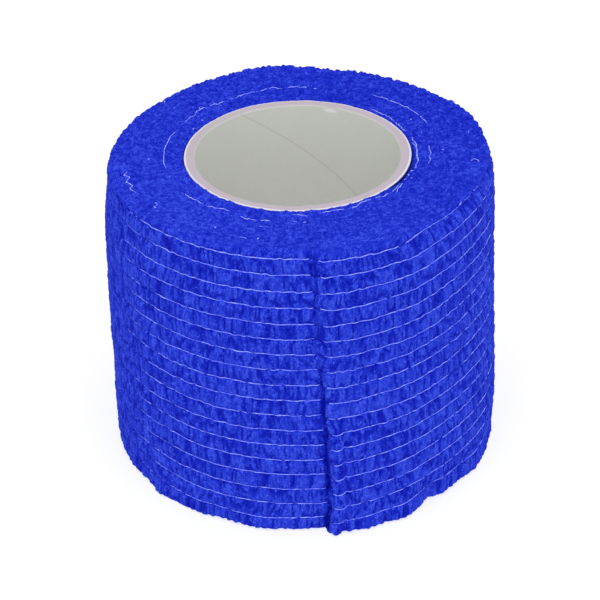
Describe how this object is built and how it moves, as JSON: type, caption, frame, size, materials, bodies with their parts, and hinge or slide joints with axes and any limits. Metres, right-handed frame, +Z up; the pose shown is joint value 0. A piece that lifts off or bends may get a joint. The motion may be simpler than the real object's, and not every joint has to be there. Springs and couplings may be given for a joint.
{
  "type": "cohesive bandage roll",
  "caption": "Crepe bandage with elastic threads, wound on an open paper tube and standing on one end, its slanted cut end pressed down at the front.",
  "frame": {"origin": "on the roll's axis, at the surface that it stands on", "axes": "+Z up along the roll's axis, -Y towards the cut end of the bandage, +X to the right of it"},
  "size_m": [0.0621, 0.0627, 0.0505],
  "materials": {
    "crepe": "matt crinkled non-woven crepe, royal blue, with pale elastic threads along it",
    "paper": "smooth grey-white paper board, matt, spiral wound"
  },
  "bodies": {
    "root": {"core_tube": "paper", "bandage": "crepe"}
  },
  "joints": []
}
